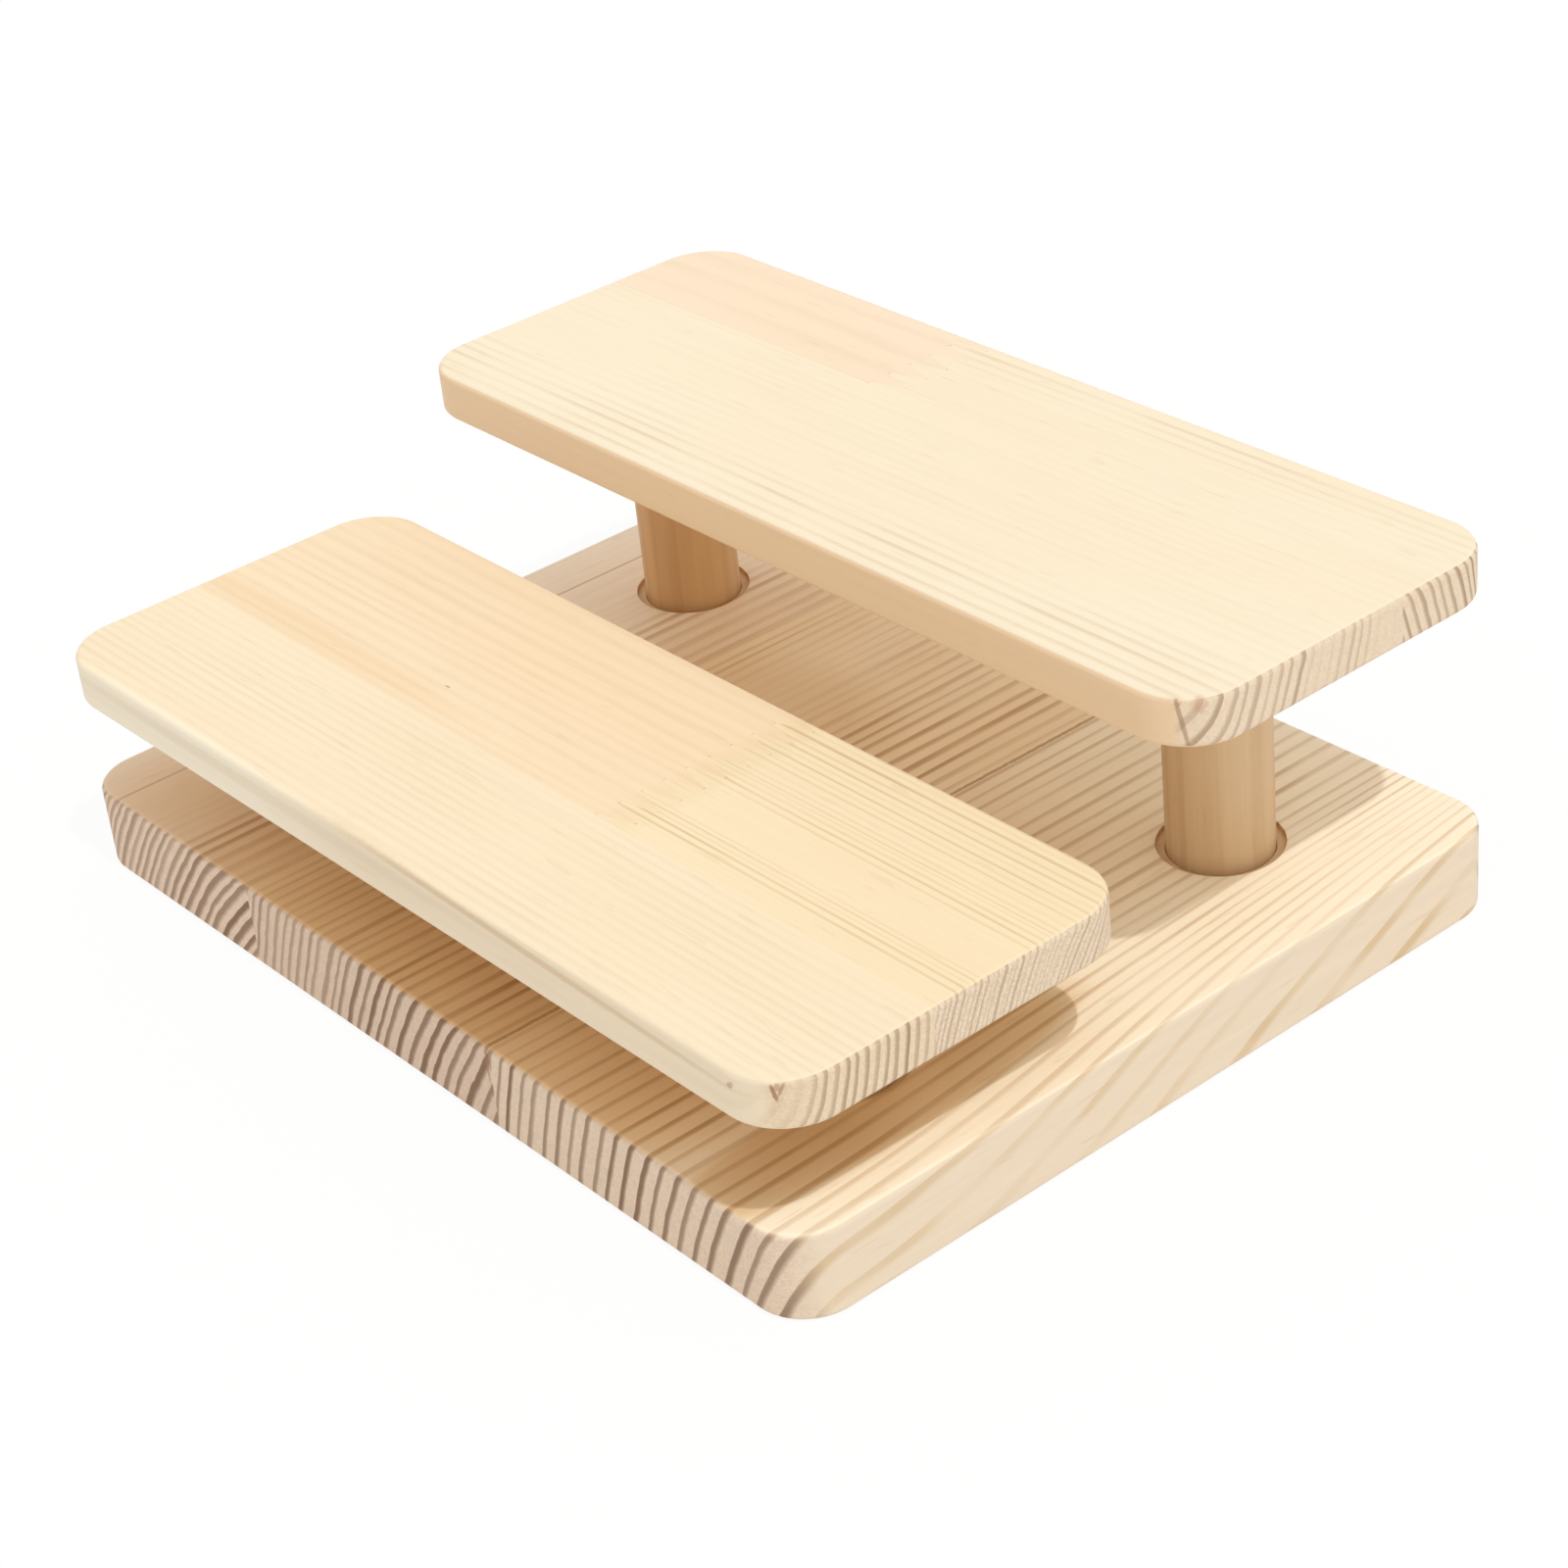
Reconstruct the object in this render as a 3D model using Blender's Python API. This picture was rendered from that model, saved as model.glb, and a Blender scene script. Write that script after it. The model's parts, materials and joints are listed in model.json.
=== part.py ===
"""Stepped display shelf: a pine stand for showing food or goods on three levels.

A thick base board lies on the table. A low shelf stands over its front half and a high shelf
over its back half, each on two round posts. The feet of the posts drop into loose sockets in
the base, so each shelf lifts out for packing. Every board is an edge-glued panel: the base of
three staves with their grain front to back, each shelf of one whole stave at the front and a
finger-jointed stave of two blocks at the back.

Lengths are in metres. X runs along the boards, Y from the front to the back, Z up. The origin
is under the middle of the base.
"""

import math

import bmesh
import bpy

# Boards
BOARD_LENGTH = 0.250
BASE_DEPTH = 0.195
BASE_THICKNESS = 0.020
BASE_CORNER_RADIUS = 0.012
BASE_EDGE_RADIUS = 0.0014
SHELF_DEPTH = 0.090
SHELF_THICKNESS = 0.011
SHELF_CORNER_RADIUS = 0.014
SHELF_EDGE_RADIUS = 0.0013

# Clear height between the base and each shelf
FRONT_CLEAR_HEIGHT = 0.023
REAR_CLEAR_HEIGHT = 0.054

# Posts, and the sockets and bores that hold them
POST_DIAMETER = 0.023
POST_CHAMFER = 0.0008
POST_END_DISTANCE = 0.0375
SOCKET_CLEARANCE = 0.0021
SOCKET_DEPTH = 0.006
FOOT_GAP = 0.0003
SHELF_BORE_DEPTH = 0.005

# Staves: widths along the base's length, and across each shelf's depth
BASE_LEFT_STAVE_WIDTH = 0.069
BASE_MIDDLE_STAVE_WIDTH = 0.088
FRONT_SHELF_FRONT_STAVE_WIDTH = 0.0375
REAR_SHELF_FRONT_STAVE_WIDTH = 0.059
GLUE_GAP = 0.0003

# Finger joints: length of each left block to the middle of its joint, and the fingers
FRONT_SHELF_LEFT_BLOCK_LENGTH = 0.1547
REAR_SHELF_LEFT_BLOCK_LENGTH = 0.098
FINGER_LENGTH = 0.009
FINGER_PITCH = 0.0058
FINGER_TIP_WIDTH = 0.0008
FINGER_END_GAP = 0.0006

# Fineness of the round forms
CORNER_SEGMENTS = 8
EDGE_SEGMENTS = 3
ROUND_SIDES = 40
SHARP_ANGLE = math.radians(35)

# Pine colours
BASE_PINE = (0.74, 0.55, 0.35)
PALE_PINE = (0.86, 0.68, 0.46)
WARM_PINE = (0.86, 0.65, 0.42)
PINK_PINE = (0.86, 0.64, 0.47)
POST_PINE = (0.68, 0.48, 0.29)
PINE_ROUGHNESS = 0.55


def clear_scene():
    """Take out whatever the file already holds."""
    for old in list(bpy.data.objects):
        bpy.data.objects.remove(old, do_unlink=True)


def add_object(name, bm, parent):
    """Turn a bmesh into a smooth-shaded object that hangs on its unit's empty."""
    bmesh.ops.recalc_face_normals(bm, faces=bm.faces[:])
    mesh = bpy.data.meshes.new(name)
    bm.to_mesh(mesh)
    bm.free()
    mesh.shade_smooth()
    mesh.set_sharp_from_angle(angle=SHARP_ANGLE)
    piece = bpy.data.objects.new(name, mesh)
    bpy.context.scene.collection.objects.link(piece)
    piece.parent = parent
    return piece


def add_unit(name, location):
    """Add the empty that carries one lift-out unit, or the base."""
    unit = bpy.data.objects.new(name, None)
    unit.location = location
    bpy.context.scene.collection.objects.link(unit)
    return unit


def paint(piece, colour):
    """Give a piece its own pine."""
    pine = bpy.data.materials.new(piece.name + "_pine")
    pine.use_nodes = True
    shader = pine.node_tree.nodes["Principled BSDF"]
    shader.inputs["Base Color"].default_value = (*colour, 1.0)
    shader.inputs["Roughness"].default_value = PINE_ROUGHNESS
    shader.inputs["Metallic"].default_value = 0.0
    piece.data.materials.append(pine)


def as_cutter(piece):
    """Keep a cutting shape out of the finished model."""
    piece.hide_render = True
    piece.display_type = "WIRE"
    return piece


def cut(piece, cutter, operation):
    """Add a Boolean with one cutting shape."""
    boolean = piece.modifiers.new(cutter.name, "BOOLEAN")
    boolean.operation = operation
    boolean.object = cutter
    boolean.solver = "EXACT"


def prism(outline, low, high):
    """Extrude a flat outline from one height to another."""
    bm = bmesh.new()
    corners = [bm.verts.new((x, y, low)) for x, y in outline]
    floor = bm.faces.new(corners)
    grown = bmesh.ops.extrude_face_region(bm, geom=[floor])
    top = [item for item in grown["geom"] if isinstance(item, bmesh.types.BMVert)]
    bmesh.ops.translate(bm, verts=top, vec=(0, 0, high - low))
    return bm


def rounded_rectangle(length, depth, radius):
    """List the points of a rectangle with round corners, anticlockwise."""
    points = []
    quarter = math.pi / 2
    signs = ((1, 1), (-1, 1), (-1, -1), (1, -1))
    for corner, (sx, sy) in enumerate(signs):
        centre_x = sx * (length / 2 - radius)
        centre_y = sy * (depth / 2 - radius)
        for step in range(CORNER_SEGMENTS + 1):
            angle = quarter * (corner + step / CORNER_SEGMENTS)
            points.append((centre_x + radius * math.cos(angle), centre_y + radius * math.sin(angle)))
    return points


def cylinder(radius, low, high, centre):
    """A round solid that stands on end."""
    bm = bmesh.new()
    bmesh.ops.create_cone(bm, cap_ends=True, segments=ROUND_SIDES, radius1=radius, radius2=radius,
                          depth=high - low)
    bmesh.ops.translate(bm, verts=bm.verts[:], vec=(*centre, (low + high) / 2))
    return bm


def stave(name, unit, board, region, bores, colour):
    """Cut one stave or block out of a whole eased board, then bore it.

    A board is its length, depth, low and high faces, corner radius and edge radius. The region
    is the outline of the stave in plan, running past the board's edges where it isn't glued.
    """
    length, depth, low, high, corner_radius, edge_radius = board
    piece = add_object(name, prism(rounded_rectangle(length, depth, corner_radius), low, high), unit)
    eased = piece.modifiers.new("eased_edges", "BEVEL")
    eased.width = edge_radius
    eased.segments = EDGE_SEGMENTS
    eased.limit_method = "ANGLE"
    eased.angle_limit = SHARP_ANGLE
    past_face = high - low
    saw = as_cutter(add_object(name + "_region", prism(region, low - past_face, high + past_face), unit))
    cut(piece, saw, "INTERSECT")
    for bore in bores:
        cut(piece, bore, "DIFFERENCE")
    paint(piece, colour)
    return piece


def post_places():
    """X positions of the left and right posts, from the ends of the boards."""
    reach = BOARD_LENGTH / 2 - POST_END_DISTANCE
    return {"left": -reach, "right": reach}


def shelf_centre(side):
    """Y of a shelf's middle, its outer edge in line with the base's: -1 front, 1 rear."""
    return side * (BASE_DEPTH - SHELF_DEPTH) / 2


def finger_line(joint_x, low_y, high_y):
    """Zigzag of a finger joint across a stave, with blunt finger ends."""
    width = high_y - low_y
    count = max(1, round(width / FINGER_PITCH))
    pitch = width / count
    near_x = joint_x - FINGER_LENGTH / 2
    far_x = joint_x + FINGER_LENGTH / 2
    points = []
    for finger in range(count):
        start = low_y + finger * pitch
        middle = start + pitch / 2
        points += [(near_x, start), (near_x, start + FINGER_TIP_WIDTH)]
        points += [(far_x, middle), (far_x, middle + FINGER_TIP_WIDTH)]
    points.append((near_x, high_y))
    return points


def build_base():
    """The base board: three staves, with four sockets bored from above."""
    unit = add_unit("base_unit", (0, 0, 0))
    board = (BOARD_LENGTH, BASE_DEPTH, 0.0, BASE_THICKNESS, BASE_CORNER_RADIUS, BASE_EDGE_RADIUS)
    sockets = []
    socket_floor = BASE_THICKNESS - SOCKET_DEPTH
    socket_radius = POST_DIAMETER / 2 + SOCKET_CLEARANCE
    for row, side in (("front", -1), ("rear", 1)):
        for hand, x in post_places().items():
            bm = cylinder(socket_radius, socket_floor, BASE_THICKNESS + SOCKET_DEPTH, (x, shelf_centre(side)))
            sockets.append(as_cutter(add_object(f"{row}_{hand}_socket", bm, unit)))
    past_edge = BASE_DEPTH / 2 + BASE_THICKNESS
    left_end = -BOARD_LENGTH / 2 - BASE_THICKNESS
    right_end = BOARD_LENGTH / 2 + BASE_THICKNESS
    left_joint = -BOARD_LENGTH / 2 + BASE_LEFT_STAVE_WIDTH
    right_joint = left_joint + BASE_MIDDLE_STAVE_WIDTH
    half_gap = GLUE_GAP / 2
    spans = {"base_left_stave": (left_end, left_joint - half_gap),
             "base_middle_stave": (left_joint + half_gap, right_joint - half_gap),
             "base_right_stave": (right_joint + half_gap, right_end)}
    for name, (low_x, high_x) in spans.items():
        region = [(low_x, -past_edge), (high_x, -past_edge), (high_x, past_edge), (low_x, past_edge)]
        stave(name, unit, board, region, sockets, BASE_PINE)


def build_shelf(row, side, clear_height, front_width, left_length, block_colours):
    """One shelf with its two posts, drawn about the shelf's middle at the base's top face."""
    unit = add_unit(row + "_shelf_unit", (0, shelf_centre(side), BASE_THICKNESS))
    low = clear_height
    high = low + SHELF_THICKNESS
    board = (BOARD_LENGTH, SHELF_DEPTH, low, high, SHELF_CORNER_RADIUS, SHELF_EDGE_RADIUS)
    bore_roof = low + SHELF_BORE_DEPTH
    bores = []
    for hand, x in post_places().items():
        bm = cylinder(POST_DIAMETER / 2 + GLUE_GAP, low - SHELF_BORE_DEPTH, bore_roof, (x, 0))
        bores.append(as_cutter(add_object(f"{row}_{hand}_bore", bm, unit)))
        build_post(f"{row}_{hand}_post", unit, x, bore_roof - GLUE_GAP)

    half_gap = GLUE_GAP / 2
    past_edge = SHELF_DEPTH / 2 + SHELF_THICKNESS
    left_end = -BOARD_LENGTH / 2 - SHELF_THICKNESS
    right_end = BOARD_LENGTH / 2 + SHELF_THICKNESS
    glue_line = -SHELF_DEPTH / 2 + front_width
    fingers = finger_line(-BOARD_LENGTH / 2 + left_length, glue_line + half_gap, SHELF_DEPTH / 2)
    front = [(left_end, -past_edge), (right_end, -past_edge),
             (right_end, glue_line - half_gap), (left_end, glue_line - half_gap)]
    left = [(left_end, glue_line + half_gap)] + fingers
    left += [(fingers[-1][0], past_edge), (left_end, past_edge)]
    mating = [(x + FINGER_END_GAP, y) for x, y in fingers]
    right = [(right_end, past_edge), (mating[-1][0], past_edge)] + mating[::-1]
    right += [(right_end, glue_line + half_gap)]
    stave(row + "_shelf_front_stave", unit, board, front, bores, PALE_PINE)
    stave(row + "_shelf_left_block", unit, board, left, bores, block_colours[0])
    stave(row + "_shelf_right_block", unit, board, right, bores, block_colours[1])


def build_post(name, unit, x, top):
    """A dowel from just above its socket's floor to its blind bore in the shelf."""
    foot = FOOT_GAP - SOCKET_DEPTH
    post = add_object(name, cylinder(POST_DIAMETER / 2, foot, top, (0, 0)), unit)
    post.location = (x, 0, 0)
    chamfer = post.modifiers.new("end_chamfers", "BEVEL")
    chamfer.width = POST_CHAMFER
    chamfer.segments = 1
    chamfer.limit_method = "ANGLE"
    chamfer.angle_limit = SHARP_ANGLE
    paint(post, POST_PINE)


def main():
    clear_scene()
    build_base()
    build_shelf("front", -1, FRONT_CLEAR_HEIGHT, FRONT_SHELF_FRONT_STAVE_WIDTH,
                FRONT_SHELF_LEFT_BLOCK_LENGTH, (WARM_PINE, PALE_PINE))
    build_shelf("rear", 1, REAR_CLEAR_HEIGHT, REAR_SHELF_FRONT_STAVE_WIDTH,
                REAR_SHELF_LEFT_BLOCK_LENGTH, (PINK_PINE, PALE_PINE))


main()
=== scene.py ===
# %% [markdown]
# # A stepped display shelf in pine
#
# A thick pine base lies on the table. A low shelf stands over its front half and a high shelf
# over its back half, each on two round posts whose feet drop into loose sockets. This lesson
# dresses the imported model: every stave is modelled again with soft edges and even shading, and
# then gets its own pine, with growth rings that run right through the wood.
#
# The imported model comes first, because every piece has to sit where its solid sits.

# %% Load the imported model
import json
import math

import bmesh
import bpy
from mathutils import Matrix, Vector


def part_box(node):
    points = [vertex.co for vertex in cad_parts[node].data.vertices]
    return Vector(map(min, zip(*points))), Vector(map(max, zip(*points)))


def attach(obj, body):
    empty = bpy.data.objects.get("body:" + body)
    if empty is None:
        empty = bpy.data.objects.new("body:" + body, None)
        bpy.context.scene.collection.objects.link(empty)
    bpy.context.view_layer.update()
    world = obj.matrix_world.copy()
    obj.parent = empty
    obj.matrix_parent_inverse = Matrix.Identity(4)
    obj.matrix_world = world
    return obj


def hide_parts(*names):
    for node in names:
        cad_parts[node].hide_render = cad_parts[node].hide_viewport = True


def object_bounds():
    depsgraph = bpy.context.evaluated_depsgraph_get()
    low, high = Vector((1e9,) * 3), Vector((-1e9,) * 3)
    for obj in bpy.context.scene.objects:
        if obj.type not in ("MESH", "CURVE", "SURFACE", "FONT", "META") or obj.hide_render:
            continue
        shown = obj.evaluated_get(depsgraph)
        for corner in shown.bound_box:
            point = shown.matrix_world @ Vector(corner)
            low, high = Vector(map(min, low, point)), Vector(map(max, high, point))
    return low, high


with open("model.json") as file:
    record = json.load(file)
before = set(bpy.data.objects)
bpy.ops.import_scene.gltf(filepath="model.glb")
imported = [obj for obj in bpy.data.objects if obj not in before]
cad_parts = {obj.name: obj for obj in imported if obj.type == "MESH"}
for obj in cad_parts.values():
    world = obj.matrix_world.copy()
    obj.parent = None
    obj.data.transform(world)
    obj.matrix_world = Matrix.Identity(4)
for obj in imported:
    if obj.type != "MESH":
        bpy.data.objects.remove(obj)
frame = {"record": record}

MM = 0.001
cad_low, cad_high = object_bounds()
bodies = frame["record"]["behaviour"]["bodies"]
BODY_OF = {node: body for body, nodes in bodies.items() for node in nodes}
cad_sides = Vector(cad_high) - Vector(cad_low)
print("packed pieces:", len(BODY_OF), "box in mm:", [round(side / MM, 1) for side in cad_sides])

# %% [markdown]
# ## The camera
#
# A camera can be moved by eye until the picture fits, or its place can be worked out from a few
# edges of known length. The second way was used here: it looks down at the near right corner,
# rolled a little. Its turn is built from three directions, to the right, up and back.

# %% Camera
VIEW_AZIMUTH = math.radians(52.798)
VIEW_ELEVATION = math.radians(31.045)
VIEW_ROLL = math.radians(-6.232)
VIEW_DISTANCE = 0.73887
VIEW_TARGET = Vector((0.017825, -0.006574, 0.033333))
VIEW_LENS = 80.308
SENSOR_WIDTH = 36

back = Vector((math.sin(VIEW_AZIMUTH) * math.cos(VIEW_ELEVATION),
               -math.cos(VIEW_AZIMUTH) * math.cos(VIEW_ELEVATION),
               math.sin(VIEW_ELEVATION)))
level_right = Vector((math.cos(VIEW_AZIMUTH), math.sin(VIEW_AZIMUTH), 0))
level_up = back.cross(level_right)
right = math.cos(VIEW_ROLL) * level_right + math.sin(VIEW_ROLL) * level_up
up = math.cos(VIEW_ROLL) * level_up - math.sin(VIEW_ROLL) * level_right

bpy.ops.object.select_all(action="DESELECT")
bpy.ops.object.camera_add()
camera = bpy.context.object
camera.name = "view_camera"
turn = Matrix((right, up, back)).transposed().to_quaternion()
camera.matrix_world = Matrix.LocRotScale(VIEW_TARGET + VIEW_DISTANCE * back, turn, None)
camera.data.sensor_width = SENSOR_WIDTH
camera.data.lens = VIEW_LENS
bpy.context.scene.camera = camera
print("camera at", [round(value, 4) for value in camera.location])

# %% [markdown]
# ## The lamp
#
# The stand was lit from high on its right side, by one lamp that gives crisp shadows. A sun lamp
# has the same slant everywhere, while a spot or area lamp this close would fan the shadows out.
# Its angle is small, because a wider lamp softens their edges.

# %% Lamp
LAMP_ELEVATION = math.radians(66)
LAMP_STRENGTH = 1.05
LAMP_SPREAD = math.radians(1.6)

bpy.ops.object.select_all(action="DESELECT")
bpy.ops.object.light_add(type="SUN", rotation=(0, math.pi / 2 - LAMP_ELEVATION, 0))
lamp = bpy.context.object
lamp.name = "key_lamp"
lamp.data.energy = LAMP_STRENGTH
lamp.data.angle = LAMP_SPREAD
print("lamp spread in degrees:", round(math.degrees(lamp.data.angle), 2))

# %% [markdown]
# ## The room
#
# Everything else that lights the stand is a bright room. It is nearly as bright low down as
# overhead, and a little warm there, so the wood under the shelves stays light and warm. Two
# colours, mixed by height, are enough for that. The camera sees plain white instead of the room,
# and so do reflections. Nodes are made in code from here on, so a few short helpers come first.

# %% Node helpers
MIX_SHARE, MIX_FIRST, MIX_SECOND, MIX_RESULT = 0, 6, 7, 2  # sockets of a Mix node for colours


def feed(tree, socket, value):
    """Give a socket a number, a vector or a colour, or link another socket to it."""
    if isinstance(value, (int, float)):
        socket.default_value = value
    elif isinstance(value, tuple):
        socket.default_value = (*value, 1) if socket.type == "RGBA" else value
    else:
        tree.links.new(value, socket)


def add_node(tree, kind, inputs=None, **settings):
    """Add one shader node with its plain settings, and feed its inputs by name or number."""
    node = tree.nodes.new("ShaderNode" + kind)
    for name, value in settings.items():
        setattr(node, name, value)
    for socket, value in (inputs or {}).items():
        feed(tree, node.inputs[socket], value)
    return node


def calc(tree, operation, *values):
    """One Math node."""
    return add_node(tree, "Math", dict(enumerate(values)), operation=operation).outputs[0]


def mix_colour(tree, share, first, second, mode="MIX"):
    """One mix of two colours."""
    inputs = {MIX_SHARE: share, MIX_FIRST: first, MIX_SECOND: second}
    node = add_node(tree, "Mix", inputs, data_type="RGBA", blend_type=mode)
    return node.outputs[MIX_RESULT]


def mix_shader(tree, share, first, second):
    """One mix of two shaders."""
    return add_node(tree, "MixShader", {0: share, 1: first, 2: second}).outputs[0]


def looking_rays(tree):
    """1 for rays from the camera, in reflections and through glass, 0 for the light itself."""
    rays = add_node(tree, "LightPath").outputs
    shiny = calc(tree, "MAXIMUM", rays["Is Glossy Ray"], rays["Is Transmission Ray"])
    return calc(tree, "MAXIMUM", rays["Is Camera Ray"], shiny)


# %% Room
ROOM_LOW = (0.81, 0.70, 0.58)
ROOM_HIGH = (0.80, 0.81, 0.82)
SEEN_WHITE = (1, 1, 1)

room = bpy.context.scene.world or bpy.data.worlds.new("room")
bpy.context.scene.world = room
room.use_nodes = True
tree = room.node_tree
tree.nodes.clear()
direction = add_node(tree, "TexCoord")
height = add_node(tree, "SeparateXYZ", {0: direction.outputs["Generated"]})
shade = mix_colour(tree, height.outputs["Z"], ROOM_LOW, ROOM_HIGH)
walls = add_node(tree, "Background", {"Color": shade})
white = add_node(tree, "Background", {"Color": SEEN_WHITE})
seen = mix_shader(tree, looking_rays(tree), walls.outputs[0], white.outputs[0])
add_node(tree, "OutputWorld", {0: seen})
bpy.context.scene.view_settings.view_transform = "Standard"
print("room nodes:", len(tree.nodes))

# %% [markdown]
# ## The floor
#
# The table is white all over the picture, with only a faint shadow close to the wood. To the
# camera the floor is therefore mostly a plain white glow, and partly a white matt surface that
# keeps the shadow. To every other ray it is just matt white, so it lights the edges from below.

# %% Floor
FLOOR_SIZE = 8
FLOOR_DROP = 0.0001
FLOOR_WHITE = (0.95, 0.95, 0.95)
FLOOR_GLOW_SHARE = 0.92

bpy.ops.object.select_all(action="DESELECT")
bpy.ops.mesh.primitive_plane_add(size=FLOOR_SIZE, location=(0, 0, -FLOOR_DROP))
floor = bpy.context.object
floor.name = "table_top"
bpy.ops.object.transform_apply()
table_white = bpy.data.materials.new("table_white")
table_white.use_nodes = True
tree = table_white.node_tree
tree.nodes.clear()
matt = add_node(tree, "BsdfDiffuse", {"Color": FLOOR_WHITE})
glow = add_node(tree, "Emission")
shown = mix_shader(tree, FLOOR_GLOW_SHARE, matt.outputs[0], glow.outputs[0])
seen = mix_shader(tree, looking_rays(tree), matt.outputs[0], shown)
add_node(tree, "OutputMaterial", {0: seen})
floor.data.materials.append(table_white)
print("floor side in m:", FLOOR_SIZE)

# %% [markdown]
# ## A board with soft edges
#
# Each board starts as a cube, stretched to the board's size. Its four upright edges are bevelled
# to the round corners, and then both rims are bevelled to the eased edge that sanding leaves. A
# Bevel modifier could do both, but two bevels in edit mode give each radius by name. Edges are
# picked by where their ends are, so nothing depends on how the cube numbers them.

# %% Helpers to pick and ease edges
NEAR = 0.001 * MM


def select_only(piece):
    """Deselect everything, then select one piece and make it active."""
    bpy.ops.object.select_all(action="DESELECT")
    bpy.context.view_layer.objects.active = piece
    piece.select_set(True)


def pick_edges(piece, wanted):
    """Go into edit mode on one piece, with only the wanted edges selected."""
    select_only(piece)
    bpy.ops.object.mode_set(mode="EDIT")
    bpy.ops.mesh.select_mode(type="EDGE")
    bpy.ops.mesh.select_all(action="DESELECT")
    bm = bmesh.from_edit_mesh(piece.data)
    for edge in bm.edges:
        if wanted(*(vert.co for vert in edge.verts)):
            edge.select_set(True)
    bm.select_flush_mode()
    bmesh.update_edit_mesh(piece.data)


def ease_edges(piece, wanted, radius, steps):
    """Bevel the wanted edges of one piece."""
    pick_edges(piece, wanted)
    bpy.ops.mesh.bevel(offset=radius, segments=steps, affect="EDGES")
    bpy.ops.object.mode_set(mode="OBJECT")


def upright(a, b):
    """True for an edge that stands straight up."""
    return abs(a.x - b.x) < NEAR and abs(a.y - b.y) < NEAR


def level(a, b):
    """True for an edge that lies level."""
    return abs(a.z - b.z) < NEAR


# %% Board helpers and the base board
CORNER_STEPS = 16
EDGE_STEPS = 5


def eased_board(name, low, high, corner_radius, edge_radius):
    """A whole board with round corners and eased edges."""
    bpy.ops.object.select_all(action="DESELECT")
    bpy.ops.mesh.primitive_cube_add(size=1, location=(low + high) / 2)
    board = bpy.context.object
    board.name = name
    bpy.ops.transform.resize(value=high - low)
    bpy.ops.object.transform_apply()
    ease_edges(board, upright, corner_radius, CORNER_STEPS)
    ease_edges(board, level, edge_radius, EDGE_STEPS)
    print(name, "faces:", len(board.data.polygons))
    return board


def whole_box(nodes):
    """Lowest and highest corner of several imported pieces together."""
    boxes = [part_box(node) for node in nodes]
    low = Vector([min(box[0][axis] for box in boxes) for axis in range(3)])
    high = Vector([max(box[1][axis] for box in boxes) for axis in range(3)])
    return low, high


BASE_NODES = ["base_left_stave", "base_middle_stave", "base_right_stave"]
BASE_CORNER = 12 * MM
BASE_EDGE = 1.4 * MM
base_low, base_high = whole_box(BASE_NODES)
base_board = eased_board("base_board", base_low, base_high, BASE_CORNER, BASE_EDGE)

# %% [markdown]
# ## Boring the sockets
#
# Four sockets take the feet of the posts, and their mouths are wider than the posts, so a ring
# shows around each foot, made brown by painted shade further on. Two cylinders are subtracted with
# Boolean
# modifiers, as two drills would do it: a wide shallow seat, whose floor is the ring, and a deeper
# hole for the foot. The rim is then picked and bevelled a little, because a drilled edge is sanded
# too.

# %% Bore helpers
BORE_SIDES = 72


def subtract(piece, cutter):
    """Cut one shape out of a piece, and throw the cutter away."""
    select_only(piece)
    cut = piece.modifiers.new("cut", "BOOLEAN")
    cut.operation = "DIFFERENCE"
    cut.solver = "EXACT"
    cut.object = cutter
    bpy.ops.object.modifier_apply(modifier=cut.name)
    bpy.data.objects.remove(cutter, do_unlink=True)


def bore(board, centre, radius, face, depth):
    """Drill a round hole into a board, to both sides of one of its level faces."""
    bpy.ops.object.select_all(action="DESELECT")
    bpy.ops.mesh.primitive_cylinder_add(vertices=BORE_SIDES, radius=radius, depth=2 * depth,
                                        location=(centre.x, centre.y, face))
    drill = bpy.context.object
    bpy.ops.object.transform_apply()
    subtract(board, drill)


# %% The base's sockets
SEAT_RADIUS = 13.6 * MM
SEAT_DEPTH = 1.2 * MM
SEAT_RIM = 0.25 * MM
RIM_STEPS = 2
RIM_NEAR = 0.02 * MM
SOCKET_RADIUS = 11.65 * MM
SOCKET_DEPTH = 6 * MM
POSTS = ["front_left_post", "front_right_post", "rear_left_post", "rear_right_post"]
POST_CENTRE = {post: (Vector(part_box(post)[0]) + Vector(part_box(post)[1])) / 2 for post in POSTS}


def on_seat_rim(a, b):
    """True for an edge on the rim of a seat, in the base's top face."""
    for point in (a, b):
        gaps = [abs((point.xy - centre.xy).length - SEAT_RADIUS) for centre in POST_CENTRE.values()]
        if abs(point.z - base_high.z) >= NEAR or min(gaps) >= RIM_NEAR:
            return False
    return True


for centre in POST_CENTRE.values():
    bore(base_board, centre, SEAT_RADIUS, base_high.z, SEAT_DEPTH)
    bore(base_board, centre, SOCKET_RADIUS, base_high.z, SOCKET_DEPTH)
ease_edges(base_board, on_seat_rim, SEAT_RIM, RIM_STEPS)
print("base with sockets, faces:", len(base_board.data.polygons))

# %% [markdown]
# ## Sawing the base into staves
#
# The base is glued up from three staves, and each is a piece of its own, with its own rings. Each
# is made from a copy of the whole board: a bisect with fill cuts away what lies past a glue line
# and closes the cut. Making each stave alone would mean matching the rounded corners by hand.

# %% Saw helpers and the base's staves
TO_LEFT, TO_RIGHT = (-1, 0, 0), (1, 0, 0)
PIECES = {}


def copy_of(board, name):
    """A copy with its own mesh."""
    piece = board.copy()
    piece.data = board.data.copy()
    piece.name = name
    bpy.context.scene.collection.objects.link(piece)
    return piece


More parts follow.
